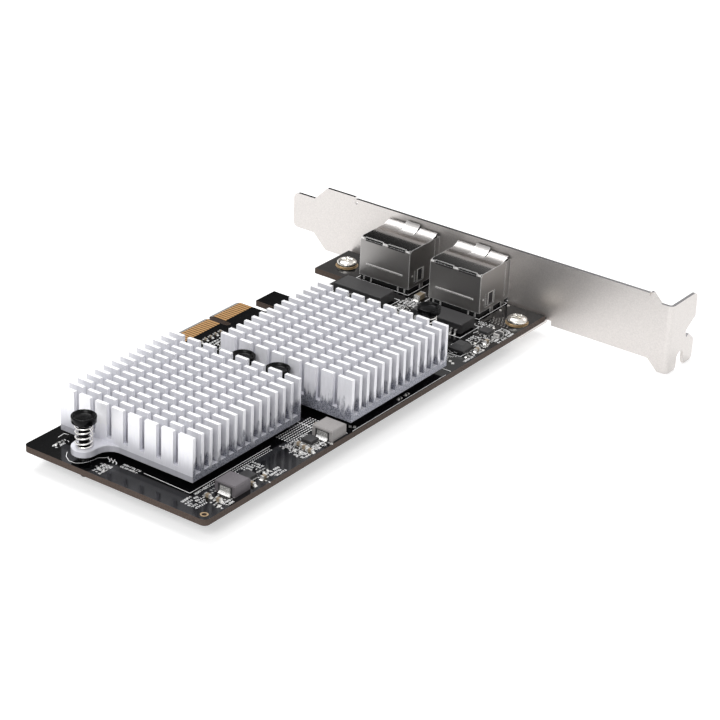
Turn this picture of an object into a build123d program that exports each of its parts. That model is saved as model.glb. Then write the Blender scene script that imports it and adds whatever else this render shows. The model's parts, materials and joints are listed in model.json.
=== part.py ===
from build123d import *
import os
from math import acos, cos, degrees, pi, radians, sin, tan

# Two-port network interface card. Millimetres.
# While it is built: X runs along the board, away from the bracket's inner face.
# Y runs up the board from the edge of the finger tab. Z = 0 is the board's component side.

# Circuit board outline
board_thickness = 1.57
bracket_gap = 0.76
board_end_x = 139.75
board_top_y = 66.4
board_edge_y = 11.75
board_corner_r = 1.4
foot_end_x = 16.1
foot_y = 2.6
block_x = 35.0
block_length = 7.7
block_y = 3.45
tab_gap_y = 9.5
key_centre_x = 58.6
key_width = 1.9
key_depth = 7.6
tab_first_length = 11.2
tab_second_length = 21.2
tab_bevel_depth = 0.4
tab_bevel_length = 1.2
tooling_hole_r = 0.6
tooling_hole_inset = 2.1
land_thickness = 0.04
land_width = 0.4

# Gold edge contacts
contact_pitch = 1.0
contact_width = 0.7
contact_length = 4.0
contact_thickness = 0.05
contact_end_margin = 0.6

# Folded bracket
sheet = 0.86
bracket_width = 18.42
bracket_low_z = -2.65
tongue_width = 10.19
tongue_tip_y = -17.3
tongue_corner_r = 1.6
shoulder_y = -6.0
neck_y = 97.0
ear_face_y = 102.9
ear_low_step = 2.95
ear_high_step = 2.47
ear_depth = 12.9
ear_bend_r = 0.5
ear_corner_r = 1.5
slot_centre_x = -6.4
slot_width = 3.6
slot_top_z = -1.1
hook_top_z = 2.4
hook_corner_r = 2.2
notch_top_z = 6.6
notch_apex_z = 3.9
notch_depth = 4.6
notch_r = 0.6
lip_reach = 0.9
lip_start_y = 4.4
lip_outer_r = 1.0
lip_relief = 1.0
lug_width = 6.6
lug_length = 13.4
lug_relief = 1.6
lug_relief_height = 1.3
lug_bend_r = 0.8

# Bracket screws
screw_inset_x = 9.0
screw_low_y = 8.05
screw_high_y = 62.98
screw_shank_r = 1.45
screw_head_r = 2.7
screw_head_height = 1.9
screw_head_edge = 1.0
screw_top_r = 1.8
screw_recess_width = 0.7
screw_recess_length = 2.8
screw_recess_depth = 1.1
screw_tip_below = 0.7
screw_board_clearance = 0.2
screw_lug_clearance = 0.05

# Jacks
jack_centres_y = {"a": 23.36, "b": 45.93}
jack_width = 16.02
jack_back_x = 13.27
jack_front_x = -1.6
jack_top_z = 12.13
shield_wall = 0.25
shield_low_z = 1.15
shield_opening_clearance = 0.25
shield_leg_width = 1.3
shield_leg_xs = (2.3, 7.3)
leg_below = 1.0
leg_clearance = 0.2
back_feet = (-6.5, -4.2, 4.6, 6.7)
back_foot_width = 0.4
perforation_length = 5.7
perforation_spacing = 7.3
perforation_height = 0.55
corner_nick = 0.35
rib_length = 11.7
rib_z = 4.7
rib_height = 0.35
rib_proud = 0.2
window_x = 8.6
window_width = 4.4
window_low_z = 2.2
window_height = 3.6
window_slit = 0.35
seam_x = 1.7
seam_width = 0.22
finger_start_x = 4.4
finger_tip_x = 0.5
finger_side_width = 5.4
finger_mid_width = 4.3
finger_gap = 0.3
finger_steps = 4
finger_side_rise = 1.25
finger_mid_rise = 1.95
housing_clearance = 0.05
housing_recess = 0.3
socket_width = 11.8
socket_low_z = 3.2
socket_height = 6.7
socket_depth = 11.6
latch_width = 6.3
latch_drop = 1.7
wire_count = 8
wire_pitch = 1.02
wire_width = 0.45
wire_thickness = 0.25
wire_slot_clearance = 0.08
wire_bend_room = 0.7
wire_roof_z = 10.95
wire_front_x = 1.2
wire_tip_x = 7.0
wire_tip_z = 7.9
wire_row_xs = (10.9, 12.3)
tail_below = 1.0
tail_hole_r = 0.45
peg_x = 4.6
peg_spacing = 11.43
peg_r = 1.5
peg_clearance = 0.1
peg_below = 0.6
led_width = 3.0
led_height = 2.1
led_depth = 4.0
led_edge = 0.36
led_low_z = 0.6
led_proud = 0.2
led_clearance = 0.03

# Magnetics modules in front of the jacks
magnetics_centres = {"a": (22.3, 23.5), "b": (21.9, 48.6)}
magnetics_length = 6.3
magnetics_width = 15.2
magnetics_top_z = 3.0
magnetics_standoff = 0.3
magnetics_edge = 0.15
lead_count = 10
lead_pitch = 1.4
lead_width = 0.5
lead_thickness = 0.2
lead_root_z = 1.4
lead_reach = 0.9
lead_foot = 0.5

# Heatsinks
sink_size = 39.8
sink_gap = 6.6
sink_gap_x = 87.7
sink_centres_y = {"a": 35.3, "b": 45.3}
sink_under_z = 1.7
sink_base = 1.7
sink_top_z = 12.85
fin_rows = 14
fin_thickness = 1.0
fin_columns = 8
cross_slot = 1.5
cross_slot_floor = 1.0
end_fin_extra = 0.8
# Ear centres as (distance out from the side, distance along it), before heatsink b is turned half round
outer_ears = {"a": (4.7, -8.4), "b": (8.7, -8.0)}
inner_ear = (3.3, 10.3)
ear_r = 3.1
ear_blend_r = 3.5

# Push pins and their springs
pin_shaft_r = 1.25
pin_hole_clearance = 0.3
pin_barb_r = 1.95
pin_tip_r = 0.9
pin_tip_below = 2.9
pin_split = 0.6
pin_split_above = 0.8
pin_neck_r = 1.9
pin_head_r = 3.05
pin_head_under_z = 8.9
pin_head_cone = 0.8
pin_top_z = 11.3
pin_head_edge = 0.4
spring_wire = 0.45
spring_mean_r = 1.95
spring_turns = 4
spring_steps = 7

# Controllers and thermal pads under the heatsinks
chip_sizes = {"a": 23.0, "b": 17.0}
chip_height = 1.5
chip_edge = 0.2

# Power inductors
inductor_centres = {"1": (124.8, 62.0), "2": (89.7, 62.8)}
inductor_length = 5.5
inductor_width = 5.9
inductor_height = 2.8
inductor_edge = 0.25
clip_width = 3.0
clip_thickness = 0.2
clip_rise = 1.9
clip_foot = 0.9

# Chip components: length, width, height of the body and length of an end cap
capacitor_sizes = {
    "small": (1.0, 0.5, 0.5, 0.25), "large": (1.6, 0.8, 0.8, 0.35), "block": (3.2, 1.6, 1.3, 0.55),
}
resistor_size = (1.0, 0.5, 0.35, 0.22)
# Each place is x, y, and whether the long side lies along Y
large_capacitors = (
    (131.0, 59.9, True), (130.9, 62.9, True), (116.2, 64.2, False), (98.5, 60.6, True),
    (99.0, 62.6, True), (99.4, 64.6, True), (88.4, 58.0, False), (120.4, 64.1, True),
    (24.2, 63.7, False), (29.6, 64.4, False),
)
block_capacitors = ((13.4, 35.3, False),)
tab_capacitor_row = (63.5, 8.6, 2.0, 8)
chip_resistors = (
    (136.6, 33.0, False), (136.6, 34.2, False), (133.2, 17.6, False), (134.4, 17.6, False),
    (101.4, 60.9, True), (101.4, 62.6, True), (61.0, 64.9, False), (64.0, 64.9, False),
    (21.4, 60.6, True), (16.0, 59.8, True), (113.0, 62.2, True), (114.4, 62.2, True),
    (34.2, 64.5, False), (26.6, 61.2, True), (132.8, 64.0, True),
)

# Small packages: centre x, centre y, length, width, height
small_packages = {
    "regulator_1": (118.3, 61.0, 3.2, 3.2, 0.9),
    "regulator_2": (95.3, 61.4, 3.0, 3.0, 0.9),
    "logic_chip": (19.2, 60.2, 3.0, 3.0, 0.9),
}
package_edge = 0.12
choke_centre = (31.6, 60.7)
choke_size = 4.6
choke_height = 1.9
choke_edge = 1.1
diode_centre = (19.2, 64.0)
diode_size = (2.6, 1.6, 1.1)
diode_cap = 0.5
memory_centre = (66.0, 17.5)
memory_size = (6.0, 5.0, 0.8)
crystal_centre = (87.4, 18.0)
crystal_size = (3.2, 2.5, 0.8)
crystal_edge = 0.1

# Rounds are made of straight steps: sides of a whole turn, of a small hole, and degrees of a corner step
turn_sides = 16
pin_sides = 12
corner_step = 22.5

# Derived places
board_low_z = -board_thickness
tab_start_x = key_centre_x - key_width / 2 - tab_first_length
tab_end_x = key_centre_x + key_width / 2 + tab_second_length
bracket_high_z = bracket_low_z + bracket_width
bracket_mid_z = bracket_low_z + bracket_width / 2
ear_low_z = bracket_low_z - ear_low_step
ear_high_z = bracket_high_z - ear_high_step
lug_low_z = board_low_z - sheet
sink_floor_z = sink_under_z + sink_base
sink_half = sink_size / 2
sink_centres = {
    "a": (sink_gap_x + sink_gap / 2 + sink_half, sink_centres_y["a"]),
    "b": (sink_gap_x - sink_gap / 2 - sink_half, sink_centres_y["b"]),
}
housing_back_x = jack_back_x - shield_wall - housing_clearance
housing_half = jack_width / 2 - shield_wall - housing_clearance
housing_top_z = jack_top_z - shield_wall - housing_clearance
housing_front_x = jack_front_x + housing_recess
led_centre_y = housing_half - led_edge - led_width / 2
pin_hole_r = pin_shaft_r + pin_hole_clearance
screw_places = [(screw_inset_x, screw_low_y), (screw_inset_x, screw_high_y)]


def block(x, y, z):
    """Box between the low and high value of each axis."""
    return Pos(sum(x) / 2, sum(y) / 2, sum(z) / 2) * Box(x[1] - x[0], y[1] - y[0], z[1] - z[0])


def post(x, y, radius, z, sides=turn_sides):
    """Upright many-sided bar between two heights."""
    return Pos(x, y, z[0]) * extrude(RegularPolygon(radius, sides), z[1] - z[0])


def turned(profile, sides):
    """Many-sided turned solid with flat faces, from (radius, height) pairs, bottom to top."""
    angles = [2 * pi * i / sides for i in range(sides)]
    rings = [[Vector(r * cos(a), r * sin(a), z) for a in angles] for r, z in profile]
    loops = [rings[0], rings[-1]]
    for low, high in zip(rings, rings[1:]):
        loops += [[low[i - 1], low[i], high[i], high[i - 1]] for i in range(sides)]
    return Solid(Shell([make_face(Polyline(*loop, close=True)).face() for loop in loops]))


def arc_steps(centre, start, sweep):
    """Points on an arc about a centre, from a start, in straight steps."""
    count = max(1, round(abs(sweep) / corner_step))
    return [centre + (start - centre).rotate(Axis.Z, sweep * i / count) for i in range(count + 1)]


def rounded_corner(before, corner, after, radius):
    """Points that round a corner off between its two sides."""
    first, second = (before - corner).normalized(), (after - corner).normalized()
    half = radians(first.get_angle(second)) / 2
    centre = corner + (first + second).normalized() * (radius / sin(half))
    way = -1 if first.cross(second).Z > 0 else 1
    return arc_steps(centre, corner + first * (radius / tan(half)), way * (180 - 2 * degrees(half)))


def outline(corners):
    """Closed face from (across, up, corner radius)."""
    spots = [Vector(across, up) for across, up, _ in corners]
    points = []
    for i, (_, _, radius) in enumerate(corners):
        after = spots[(i + 1) % len(spots)]
        points += rounded_corner(spots[i - 1], spots[i], after, radius) if radius else [spots[i]]
    apart = [point for i, point in enumerate(points) if (point - points[i - 1]).length > 0.001]
    return make_face(Polyline(*apart, close=True))


def along_x(face, low, high):
    """Prism of a face drawn as (Y, Z), between two X values."""
    return Plane.YZ.offset(low) * extrude(face, high - low)


def along_y(face, low, high):
    """Prism of a face drawn as (X, Z), between two Y values."""
    return Plane.XZ.offset(-high) * extrude(face, high - low)


def along_z(face, low, high):
    """Prism of a face drawn as (X, Y), between two heights."""
    return Pos(0, 0, low) * extrude(face, high - low)


def top_edges(body):
    """Edges of the highest face."""
    return body.faces().sort_by(Axis.Z)[-1].edges()


def pin_places():
    """Push-pin centres: two ears on each heatsink, heatsink b turned half round."""
    places = {}
    for name, turn in (("a", 1), ("b", -1)):
        x, y = sink_centres[name]
        places[name] = [(x + turn * dx, y + turn * dy) for dx, dy in ear_offsets(name)]
    return places


def ear_offsets(name):
    """Ear centres from the heatsink's centre: the outer one, then the inner one."""
    out, along = outer_ears[name]
    return (sink_half + out, along), (-sink_half - inner_ear[0], inner_ear[1])


# Circuit board


def board_outline():
    """Board with the foot by the bracket, the small block and the finger tab."""
    return outline([
        (bracket_gap, foot_y, 0), (foot_end_x, foot_y, 0), (foot_end_x, board_edge_y, 0),
        (block_x, board_edge_y, 0), (block_x, block_y, 0), (block_x + block_length, block_y, 0),
        (block_x + block_length, tab_gap_y, 0), (tab_start_x, tab_gap_y, 0), (tab_start_x, 0, 0),
        (tab_end_x, 0, 0), (tab_end_x, board_edge_y, 0), (board_end_x, board_edge_y, board_corner_r),
        (board_end_x, board_top_y, board_corner_r), (bracket_gap, board_top_y, 0),
    ])


def tab_bevel(face_z, inward):
    """Wedge that bevels one face of the finger tab's edge."""
    deep_z = face_z + inward * tab_bevel_depth
    wedge = outline([(0, face_z, 0), (tab_bevel_length, face_z, 0), (0, deep_z, 0)])
    return along_x(wedge, tab_start_x, tab_end_x)


def key_notch():
    """Key slot in the finger tab, with a round end."""
    z = (board_low_z, 0)
    half = key_width / 2
    straight = block((key_centre_x - half, key_centre_x + half), (0, key_depth - half), z)
    return straight + post(key_centre_x, key_depth - half, half, z)


def tail_places(centre_y):
    """Board positions of the eight contact tails, in two rows."""
    start = centre_y - wire_pitch * (wire_count - 1) / 2
    return [(wire_row_xs[i % 2], start + wire_pitch * i) for i in range(wire_count)]


def tail_hole(x, y, z):
    """Small plated hole for one contact tail."""
    return post(x, y, tail_hole_r, z, 4)


def tooling_hole():
    """Centre of the small plated hole near the far upper corner."""
    return board_end_x - tooling_hole_inset, board_top_y - tooling_hole_inset


def circuit_board():
    """Board with every hole that a piece passes through."""
    z = (board_low_z, 0)
    board = along_z(board_outline(), *z) - key_notch()
    board -= tab_bevel(0, -1)
    board -= tab_bevel(board_low_z, 1)
    cuts = [post(x, y, screw_shank_r + screw_board_clearance, z) for x, y in screw_places]
    pins = [place for places in pin_places().values() for place in places]
    cuts += [post(x, y, pin_hole_r, z, pin_sides) for x, y in pins]
    cuts.append(post(*tooling_hole(), tooling_hole_r, z, pin_sides))
    for centre_y in jack_centres_y.values():
        cuts += [tail_hole(x, y, z) for x, y in tail_places(centre_y)]
        cuts += [peg(centre_y, side, peg_clearance, z) for side in (-1, 1)]
        cuts += [leg(x, side, centre_y, leg_clearance, z) for x in shield_leg_xs for side in (-1, 1)]
    return board - cuts


def land(x, y, hole_r, ring_r, sides=turn_sides):
    """Plated ring on the board's upper face."""
    z = (0, land_thickness)
    return post(x, y, ring_r, z, sides) - post(x, y, hole_r, z, sides)


def screw_lands():
    """Rings under the screw heads and round the tooling hole."""
    hole_r = screw_shank_r + screw_board_clearance
    rings = [land(x, y, hole_r, screw_head_r + land_width) for x, y in screw_places]
    rings.append(land(*tooling_hole(), tooling_hole_r, tooling_hole_r + land_width, pin_sides))
    return rings


def edge_contacts(z):
    """Row of contacts on both sections of the finger tab."""
    y = (tab_bevel_length, tab_bevel_length + contact_length)
    sections = ((tab_start_x, tab_first_length), (key_centre_x + key_width / 2, tab_second_length))
    strips = []
    for start, length in sections:
        count = int((length - 2 * contact_end_margin + contact_pitch) / contact_pitch + 0.5)
        first = start + (length - (count - 1) * contact_pitch) / 2
        for i in range(count):
            x = first + i * contact_pitch
            strips.append(block((x - contact_width / 2, x + contact_width / 2), y, z))
    return strips


# Bracket


def bracket_face_outline():
    """Tongue, shoulders and long face, up to the ear's bend, as (Y, Z)."""
    low, high = bracket_mid_z - tongue_width / 2, bracket_mid_z + tongue_width / 2
    step = (bracket_width - tongue_width) / 2
    end_y = ear_face_y - ear_bend_r - sheet
    return outline([
        (tongue_tip_y, low, tongue_corner_r), (shoulder_y - step, low, 0), (shoulder_y, bracket_low_z, 1),
        (neck_y, bracket_low_z, 1), (neck_y + bracket_low_z - ear_low_z, ear_low_z, 0),
        (end_y, ear_low_z, 0), (end_y, ear_high_z, 0),
        (neck_y + bracket_high_z - ear_high_z, ear_high_z, 0.6), (neck_y, bracket_high_z, 0.6),
        (shoulder_y, bracket_high_z, 0.5), (shoulder_y - step, high, 0),
        (tongue_tip_y, high, tongue_corner_r),
    ])


def ear_outline():
    """Ear with its screw slot, hook and notch, as (X, Z), from the bend's end outwards."""
    start = -ear_bend_r - sheet
    slot_low = slot_centre_x - slot_width / 2
    slot_high = slot_centre_x + slot_width / 2
    slot_r = slot_width / 2 - 0.05
    tip = -ear_depth
    notch_x = tip + notch_depth
    return outline([
        (start, ear_high_z, 0), (tip, ear_high_z, ear_corner_r), (tip, notch_top_z, 0.4),
        (notch_x, notch_apex_z, notch_r), (notch_x - 0.5, hook_top_z - 0.6, 0.3),
        (notch_x - 2, hook_top_z, 0.4), (tip, hook_top_z - hook_corner_r, hook_corner_r / 2),
        (tip, ear_low_z, 1.4), (slot_low, ear_low_z, 1), (slot_low, slot_top_z, slot_r),
        (slot_high, slot_top_z, slot_r), (slot_high, ear_low_z, 1), (start, ear_low_z, 0),
    ])


def ear_bend():
    """Quarter bend between the long face and the ear."""
    centre = Vector(-ear_bend_r - sheet, ear_face_y - ear_bend_r - sheet)
    inner = arc_steps(centre, centre + Vector(ear_bend_r, 0), 90)
    outer = arc_steps(centre, centre + Vector(ear_bend_r + sheet, 0), 90)
    face = make_face(Polyline(*inner, *reversed(outer), close=True))
    return along_z(face, ear_low_z, ear_high_z)


def lip():
    """Stiffening lip along the long face's upper edge, and the corner that its bend takes off."""
    y = (lip_start_y, neck_y - 0.6)
    strip = block((-sheet, lip_reach), y, (bracket_high_z - sheet, bracket_high_z))
    low, far = bracket_high_z - 2 * lip_outer_r, 2 * lip_outer_r - sheet
    sides = [(-sheet, low, 0), (far, low, 0), (far, bracket_high_z, 0)]
    bend = outline(sides + [(-sheet, bracket_high_z, lip_outer_r)])
    return strip, along_y(outline(sides + [(-sheet, bracket_high_z, 0)]) - bend, *y)


def lug(y):
    """Lug under the board, bent out of the long face's lower edge."""
    half = lug_width / 2
    flat = outline([
        (-sheet, y - half, 0), (lug_length, y - half, 1.5), (lug_length, y + half, 1.5),
        (-sheet, y + half, 0),
    ])
    body = along_z(flat, lug_low_z, board_low_z)
    return body - post(screw_inset_x, y, screw_shank_r + screw_lug_clearance, (lug_low_z, board_low_z))


def lug_relief_cuts(y):
    """Notches beside a lug, and the strip below its bend."""
    x = (-sheet, 0)
    half = lug_width / 2
    cuts = [block(x, (y - half, y + half), (bracket_low_z, lug_low_z))]
    for low, high in ((y - half - lug_relief, y - half), (y + half, y + half + lug_relief)):
        cuts.append(block(x, (low, high), (bracket_low_z, bracket_low_z + lug_relief_height)))
    return cuts


def jack_window(centre_y):
    """Opening in the bracket for one jack."""
    half = jack_width / 2 + shield_opening_clearance
    low, high = -shield_opening_clearance, jack_top_z + shield_opening_clearance
    return block((-sheet, 0), (centre_y - half, centre_y + half), (low, high))


def bracket():
    """Bracket folded from one sheet."""
    strip, corner = lip()
    relief = relief_slot(lip_start_y - lip_relief / 2, bracket_high_z, lip_relief)
    body = along_x(bracket_face_outline(), -sheet, 0) + strip - corner - relief
    for centre_y in jack_centres_y.values():
        body -= jack_window(centre_y)
    body += ear_bend() + along_y(ear_outline(), ear_face_y - sheet, ear_face_y)
    for _, y in screw_places:
        body -= lug_relief_cuts(y)
        body += lug(y)
    bends = body.edges().filter_by(Axis.Y).filter_by(
        lambda edge: abs(edge.center().X + sheet) < 0.01 and abs(edge.center().Z - lug_low_z) < 0.01)
    return fillet(bends, lug_bend_r)


def relief_slot(y, top_z, width):
    """Round-ended relief slot through the sheet, open upwards."""
    half = width / 2
    centre_z = top_z - 2 * width + half
    slot = outline([
        (y - half, top_z, 0), (y - half, centre_z - half, half * 0.9),
        (y + half, centre_z - half, half * 0.9), (y + half, top_z, 0),
    ])
    return along_x(slot, -sheet, 0)


# Screws


def bracket_screw(x, y):
    """Pan-head screw with a cross recess, seated on its land."""
    seat = land_thickness
    screw = turned([
        (screw_shank_r, lug_low_z - screw_tip_below), (screw_shank_r, seat), (screw_head_r, seat),
        (screw_head_r, seat + screw_head_edge), (screw_top_r, seat + screw_head_height),
    ], turn_sides)
    z = (seat + screw_head_height - screw_recess_depth, seat + screw_head_height)
    half, reach = screw_recess_width / 2, screw_recess_length / 2
    screw -= block((-half, half), (-reach, reach), z) + block((-reach, reach), (-half, half), z)
    return Pos(x, y, 0) * screw


# Jacks


def leg(x, side, centre_y, clearance, z):
    """Shield leg, or with a clearance the board slot that it passes through."""
    outer = jack_width / 2 + clearance
    inner = jack_width / 2 - shield_wall - clearance
    y = sorted((centre_y + side * outer, centre_y + side * inner))
    half = shield_leg_width / 2 + clearance
    return block((x - half, x + half), y, z)


def spring_finger(low_y, high_y, rise):
    """Curved finger lifted from the shield's top towards the bracket."""
    reach = finger_start_x - finger_tip_x
    radius = (reach * reach + rise * rise) / (2 * rise)
    turn = -degrees(acos(1 - rise / radius)) / finger_steps
    centre = Vector(finger_start_x, jack_top_z + radius)
    spokes = [Vector(0, -1).rotate(Axis.Z, turn * i) for i in range(finger_steps + 1)]
    inner = [centre + spoke * radius for spoke in spokes]
    outer = [centre + spoke * (radius + shield_wall) for spoke in spokes]
    return along_y(make_face(Polyline(*inner, *reversed(outer), close=True)), low_y, high_y)


def finger_spans():
    """Low side, high side and rise of the three fingers, from the jack's centre."""
    mid = finger_mid_width / 2
    near, far = mid + finger_gap, mid + finger_gap + finger_side_width
    return ((-far, -near, finger_side_rise), (-mid, mid, finger_mid_rise), (near, far, finger_side_rise))


def window_slits(side):
    """U-shaped slit that frees a small latch tongue in the shield's side."""
    y = sorted((side * jack_width / 2, side * (jack_width / 2 - shield_wall)))
    low_x, high_x = window_x - window_width / 2, window_x + window_width / 2
    top = window_low_z + window_height
    z = (window_low_z, top)
    foot = block((low_x, high_x), y, (window_low_z, window_low_z + window_slit))
    return foot + block((low_x, low_x + window_slit), y, z) + block((high_x - window_slit, high_x), y, z)


def back_edge_cuts():
    """Perforations and corner nicks along the shield's upper back edge."""
    x = (jack_back_x - perforation_height, jack_back_x)
    z = (jack_top_z - perforation_height, jack_top_z)
    half = perforation_length / 2
    centres = (-perforation_spacing / 2, perforation_spacing / 2)
    cuts = [block(x, (y - half, y + half), z) for y in centres]
    side = jack_width / 2
    cuts += [block(x, (-side, corner_nick - side), z), block(x, (side - corner_nick, side), z)]
    return cuts


def jack_shield():
    """Folded shield, open at its front and underside, about y = 0."""
    half, inside = jack_width / 2, jack_width / 2 - shield_wall
    outer = block((jack_front_x, jack_back_x), (-half, half), (shield_low_z, jack_top_z))
    hollow = block((jack_front_x, jack_back_x - shield_wall), (-inside, inside),
                   (shield_low_z, jack_top_z - shield_wall))
    shield = outer - hollow - back_edge_cuts()
    for low, high, rise in finger_spans():
        shield -= block((0, finger_start_x), (low, high), (jack_top_z - shield_wall, jack_top_z))
        shield += spring_finger(low, high, rise)
    seam = (seam_x - seam_width / 2, seam_x + seam_width / 2)
    for side in (-1, 1):
        y = sorted((side * half, side * inside))
        shield -= block(seam, y, (window_low_z, jack_top_z - 2 * shield_wall))
        shield -= window_slits(side)
        for x in shield_leg_xs:
            shield += leg(x, side, 0, 0, (board_low_z - leg_below, shield_low_z + shield_wall))
    rib_y = (-rib_length / 2, rib_length / 2)
    rib_z_span = (rib_z - rib_height / 2, rib_z + rib_height / 2)
    shield += block((jack_back_x, jack_back_x + rib_proud), rib_y, rib_z_span)
    for y in back_feet:
        foot_y_span = (y - back_foot_width / 2, y + back_foot_width / 2)
        shield += block((jack_back_x - shield_wall, jack_back_x), foot_y_span, (0, shield_low_z))
    return shield


def jack_housing():
    """Plastic housing with the plug socket, latch channel, wire slots and pegs, about y = 0."""
    body = block((housing_front_x, housing_back_x), (-housing_half, housing_half), (0, housing_top_z))
    x = (housing_front_x, housing_front_x + socket_depth)
    roof = socket_low_z + socket_height
    body -= block(x, (-socket_width / 2, socket_width / 2), (socket_low_z, roof))
    body -= block(x, (-latch_width / 2, latch_width / 2), (socket_low_z - latch_drop, socket_low_z))
    for side in (-1, 1):
        body -= led_box(side, led_clearance)
        body += peg(0, side, 0, (board_low_z - peg_below, 0))
    half = wire_width / 2 + wire_slot_clearance
    channel_top = wire_roof_z + wire_thickness / 2 + wire_slot_clearance
    for x, y in tail_places(0):
        tail = (x - wire_thickness / 2 - wire_slot_clearance, x + wire_thickness / 2 + wire_slot_clearance)
        front = wire_front_x - wire_bend_room
        body -= block((front, tail[1]), (y - half, y + half), (roof, channel_top))
        body -= block(tail, (y - half, y + half), (0, channel_top))
    return body


def peg(centre_y, side, clearance, z):
    """Housing peg, or with a clearance the board hole that it passes through."""
    return post(peg_x, centre_y + side * peg_spacing / 2, peg_r + clearance, z, pin_sides)


def led_box(side, clearance):
    """Indicator lens, or with a clearance its pocket in the housing, about y = 0."""
    half = led_width / 2 + clearance
    y = (side * led_centre_y - half, side * led_centre_y + half)
    z = (led_low_z - clearance, led_low_z + led_height + clearance)
    return block((housing_front_x - led_proud, housing_front_x + led_depth + clearance), y, z)


def indicator(side):
    """Lens with a softened front edge."""
    lens = led_box(side, 0)
    return chamfer(lens.faces().sort_by(Axis.X)[0].edges(), 0.15)


def contact_wire(tail_x, y):
    """Bent wire: spring end in the socket, run under the roof, and board tail."""
    path = Polyline(
        (wire_tip_x, wire_tip_z), (wire_front_x, wire_roof_z), (tail_x, wire_roof_z),
        (tail_x, board_low_z - tail_below))
    face = trace(path, wire_thickness)
    return along_y(face, y - wire_width / 2, y + wire_width / 2)


def jack_contacts():
    """Eight contact wires of one jack, about y = 0."""
    return [contact_wire(x, y) for x, y in tail_places(0)]


# Magnetics modules


def magnetics_body(centre):
    """Moulded module above its leads."""
    x, y = centre
    z = (magnetics_standoff, magnetics_top_z)
    half_x, half_y = magnetics_length / 2, magnetics_width / 2
    body = block((x - half_x, x + half_x), (y - half_y, y + half_y), z)
    return chamfer(top_edges(body), magnetics_edge)


def gull_lead(root, foot, side):
    """Gull-wing lead face as (X, Z), outwards from a package side at x = 0."""
    t = lead_thickness
    points = [
        (0, root), (foot - t, root), (foot - t, t), (foot + lead_foot - t, t),
        (foot + lead_foot - t, 0), (foot - 2 * t, 0), (foot - 2 * t, root - t), (0, root - t),
    ]
    return make_face(Polyline(*[(side * across, up) for across, up in points], close=True))


def magnetics_leads(centre):
    """Two rows of leads along the module's long sides."""
    x, y = centre
    start = y - lead_pitch * (lead_count - 1) / 2
    leads = []
    for side in (-1, 1):
        face = Pos(x + side * magnetics_length / 2, 0) * gull_lead(lead_root_z, lead_reach, side)
        for i in range(lead_count):
            middle = start + i * lead_pitch
            leads.append(along_y(face, middle - lead_width / 2, middle + lead_width / 2))
    return leads


# Heatsinks


def sink_ear(x, y):
    """Ear with a round end and blends into the base's side, about the heatsink's centre."""
    side = 1 if x > 0 else -1
    root = side * sink_half
    blend_r = min(ear_blend_r, abs(x) - sink_half - 0.2)
    wide = ear_r + blend_r
    neck = outline([
        (root - side, y - wide, 0), (root, y - wide, 0), (root, y - ear_r, blend_r), (x, y - ear_r, 0),
        (x, y + ear_r, 0), (root, y + ear_r, blend_r), (root, y + wide, 0), (root - side, y + wide, 0),
    ])
    return neck + Pos(x, y) * RegularPolygon(ear_r, turn_sides)


def fin_comb():
    """One row of fins as (Y, Z): a low web with eight teeth, the end teeth wider."""
    web_top = sink_floor_z + cross_slot_floor
    comb = Pos(0, (sink_floor_z + sink_top_z) / 2) * Rectangle(sink_size, sink_top_z - sink_floor_z)
    inner = (sink_size - (fin_columns - 1) * cross_slot - 2 * end_fin_extra) / fin_columns
    for i in range(fin_columns - 1):
        middle = -sink_half + end_fin_extra + (i + 1) * inner + (i + 0.5) * cross_slot
        comb -= Pos(middle, (web_top + sink_top_z) / 2) * Rectangle(cross_slot, sink_top_z - web_top)
    return comb


def heatsink(name, turn):
    """Base with ears and pin holes, and the rows of fins."""
    offsets = ear_offsets(name)
    base = Rectangle(sink_size, sink_size) + [sink_ear(x, y) for x, y in offsets]
    sink = along_z(base, sink_under_z, sink_floor_z)
    sink -= [post(x, y, pin_hole_r, (sink_under_z, sink_floor_z), pin_sides) for x, y in offsets]
    comb = fin_comb()
    pitch = (sink_size - fin_thickness) / (fin_rows - 1)
    rows = []
    for i in range(fin_rows):
        low = -sink_half + i * pitch
        rows.append(along_x(comb, low, low + fin_thickness))
    return Pos(*sink_centres[name], 0) * Rot(0, 0, turn) * (sink + rows)


# Push pins and springs


def push_pin(x, y):
    """Moulded pin: head, shaft through ear and board, split barb under the board."""
    tip_z = board_low_z - pin_tip_below
    pin = turned([
        (pin_tip_r, tip_z), (pin_barb_r, board_low_z - 0.4), (pin_barb_r, board_low_z),
        (pin_shaft_r, board_low_z), (pin_shaft_r, pin_head_under_z), (pin_neck_r, pin_head_under_z),
        (pin_head_r, pin_head_under_z + pin_head_cone), (pin_head_r, pin_top_z - pin_head_edge),
        (pin_head_r - pin_head_edge, pin_top_z),
    ], pin_sides)
    half = pin_split / 2
    pin -= block((-half, half), (-pin_barb_r, pin_barb_r), (tip_z, board_low_z + pin_split_above))
    return Pos(x, y, 0) * pin


def pin_spring(x, y):
    """Open coil spring between the ear and the pin's head."""
    margin = 0.75 * spring_wire
    rise = pin_head_under_z - sink_floor_z - 2 * margin
    steps = int(spring_turns * spring_steps)
    points = []
    for i in range(steps + 1):
        angle = 2 * pi * i / spring_steps
        points.append((spring_mean_r * cos(angle), spring_mean_r * sin(angle), rise * i / steps))
    path = Polyline(*points)
    section = Plane(origin=path @ 0, z_dir=path % 0) * Rectangle(spring_wire, spring_wire)
    return Pos(x, y, sink_floor_z + margin) * sweep(section, path=path, transition=Transition.RIGHT)


# Controllers, inductors and small components


def controller(name):
    """Chip under a heatsink, on the board."""
    x, y = sink_centres[name]
    half = chip_sizes[name] / 2
    chip = block((x - half, x + half), (y - half, y + half), (0, chip_height))
    return chamfer(top_edges(chip), chip_edge)


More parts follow.
